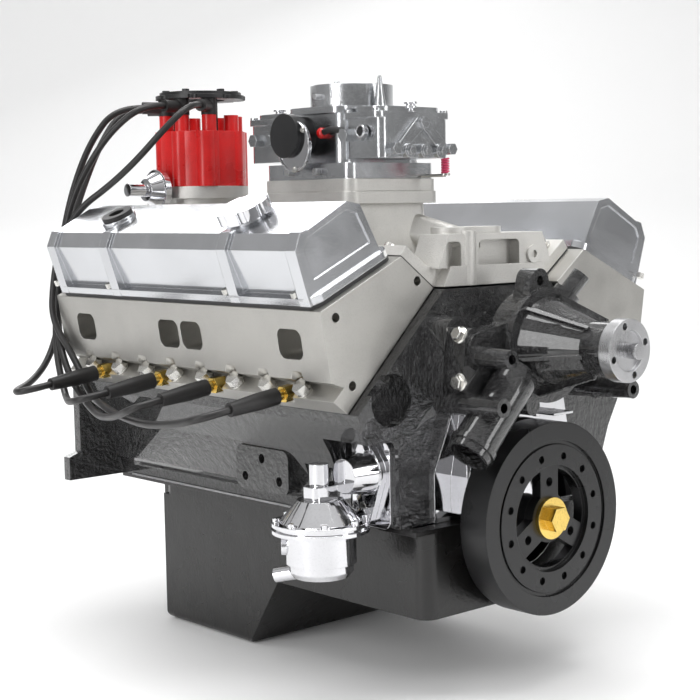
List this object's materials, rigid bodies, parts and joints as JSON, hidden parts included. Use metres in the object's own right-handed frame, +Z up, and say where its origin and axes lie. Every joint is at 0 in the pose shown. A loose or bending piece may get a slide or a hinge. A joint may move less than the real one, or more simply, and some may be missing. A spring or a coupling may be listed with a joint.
{
  "type": "v8 engine",
  "caption": "Complete pushrod V8 crate engine with carburettor, distributor, chromed covers, water pump, damper and oil pan, with its crank train and valve gear inside.",
  "frame": {"origin": "on the crank's axis, at the rear face of its flywheel flange", "axes": "+Z up, +Y from the damper to the flywheel end, +X toward the bank that stands forward"},
  "size_m": [0.5822, 0.7583, 0.651],
  "materials": {
    "cast_iron_black": "satin black engine paint",
    "chrome_cover": "polished",
    "aluminium": "as cast",
    "aluminium_dark": "as cast, darker",
    "steel": "machined",
    "steel_dark": "oiled",
    "zinc": "yellow zinc plate",
    "gasket": "pressed gasket",
    "red_cap": "moulded",
    "black_plastic": "moulded",
    "black_rubber": "moulded",
    "black_pan": "gloss black"
  },
  "bodies": {
    "block": {"cylinder_block": "cast_iron_black", "main_caps": "steel_dark", "cylinder_head_right": "aluminium", "cylinder_head_left": "aluminium", "head_gaskets": "gasket", "head_bolts": "steel_dark", "valve_cover_left": "chrome_cover", "valve_cover_right": "chrome_cover", "valve_cover_gaskets": "gasket", "cover_bolts": "steel", "pcv_grommet": "black_rubber", "intake_manifold": "aluminium", "intake_gaskets": "gasket", "intake_bolts": "steel", "carburetor_spacer": "aluminium", "throttle_body": "aluminium_dark", "carburetor_body": "aluminium", "fuel_bowl_front": "aluminium", "fuel_bowl_rear": "aluminium", "choke_housing": "black_plastic", "diaphragm_cover": "aluminium", "distributor_housing": "aluminium", "distributor_cap": "red_cap", "wire_retainer": "black_plastic", "vacuum_advance": "chrome_cover", "timing_chain": "steel", "pistons": "aluminium", "piston_pins": "steel", "connecting_rods": "steel_dark", "lifters": "steel", "pushrods": "steel", "rocker_arms": "steel", "valves": "steel", "valve_springs": "steel_dark", "timing_cover": "chrome_cover", "timing_tab": "chrome_cover", "water_pump_housing": "cast_iron_black", "oil_pan": "black_pan", "oil_pump": "steel_dark", "fuel_pump_plate": "chrome_cover", "fuel_pump": "chrome_cover", "spark_plugs": "zinc", "plug_boots": "black_rubber", "plug_lead_8": "black_rubber", "plug_lead_6": "black_rubber", "plug_lead_4": "black_rubber", "plug_lead_2": "black_rubber"},
    "crank": {"crankshaft": "steel_dark", "crank_sprocket": "steel", "damper_hub": "cast_iron_black", "damper_ring": "cast_iron_black", "damper_bolt": "zinc"},
    "cam": {"camshaft": "steel_dark", "cam_sprocket": "steel"},
    "distributor": {"distributor_shaft": "steel"},
    "pump": {"water_pump_hub": "steel"},
    "throttle_front": {"throttle_shaft_front": "steel"},
    "throttle_rear": {"throttle_shaft_rear": "steel"},
    "choke": {"choke_plate": "steel"},
    "filler_cap": {"oil_filler_cap": "chrome_cover"}
  },
  "joints": [
    {"name": "crank_spin", "type": "hinge", "parent": "block", "child": "crank", "pos_m": [0, 0, 0], "axis": [0, 1, 0], "continuous": true, "deforming": ["connecting_rods", "timing_chain"]},
    {"name": "cam_spin", "type": "hinge", "parent": "block", "child": "cam", "pos_m": [0, -0.27, 0.1148], "axis": [0, 1, 0], "continuous": true},
    {"name": "distributor_spin", "type": "hinge", "parent": "block", "child": "distributor", "pos_m": [-0.036, -0.046, 0.2], "axis": [0, 0, -1], "continuous": true},
    {"name": "pump_spin", "type": "hinge", "parent": "block", "child": "pump", "pos_m": [0, -0.65, 0.1815], "axis": [0, 1, 0], "continuous": true},
    {"name": "throttle_front_turn", "type": "hinge", "parent": "block", "child": "throttle_front", "pos_m": [0, -0.3152, 0.367], "axis": [1, 0, 0], "range_deg": [0, 75], "stiffness_Nm_per_rad": 0.05},
    {"name": "throttle_rear_turn", "type": "hinge", "parent": "block", "child": "throttle_rear", "pos_m": [0, -0.2652, 0.367], "axis": [1, 0, 0], "range_deg": [0, 75]},
    {"name": "choke_turn", "type": "hinge", "parent": "block", "child": "choke", "pos_m": [0, -0.2962, 0.452], "axis": [1, 0, 0], "range_deg": [-80, 0]},
    {"name": "filler_lift", "type": "slide", "parent": "block", "child": "filler_cap", "axis": [-0.4258, 0, 0.9048], "range_m": [0, 0.04]}
  ],
  "couplings": [
    {"joint": "cam_spin", "follows": "crank_spin", "ratio": 0.5},
    {"joint": "distributor_spin", "follows": "crank_spin", "ratio": 0.5},
    {"joint": "throttle_rear_turn", "follows": "throttle_front_turn", "ratio": 1}
  ]
}
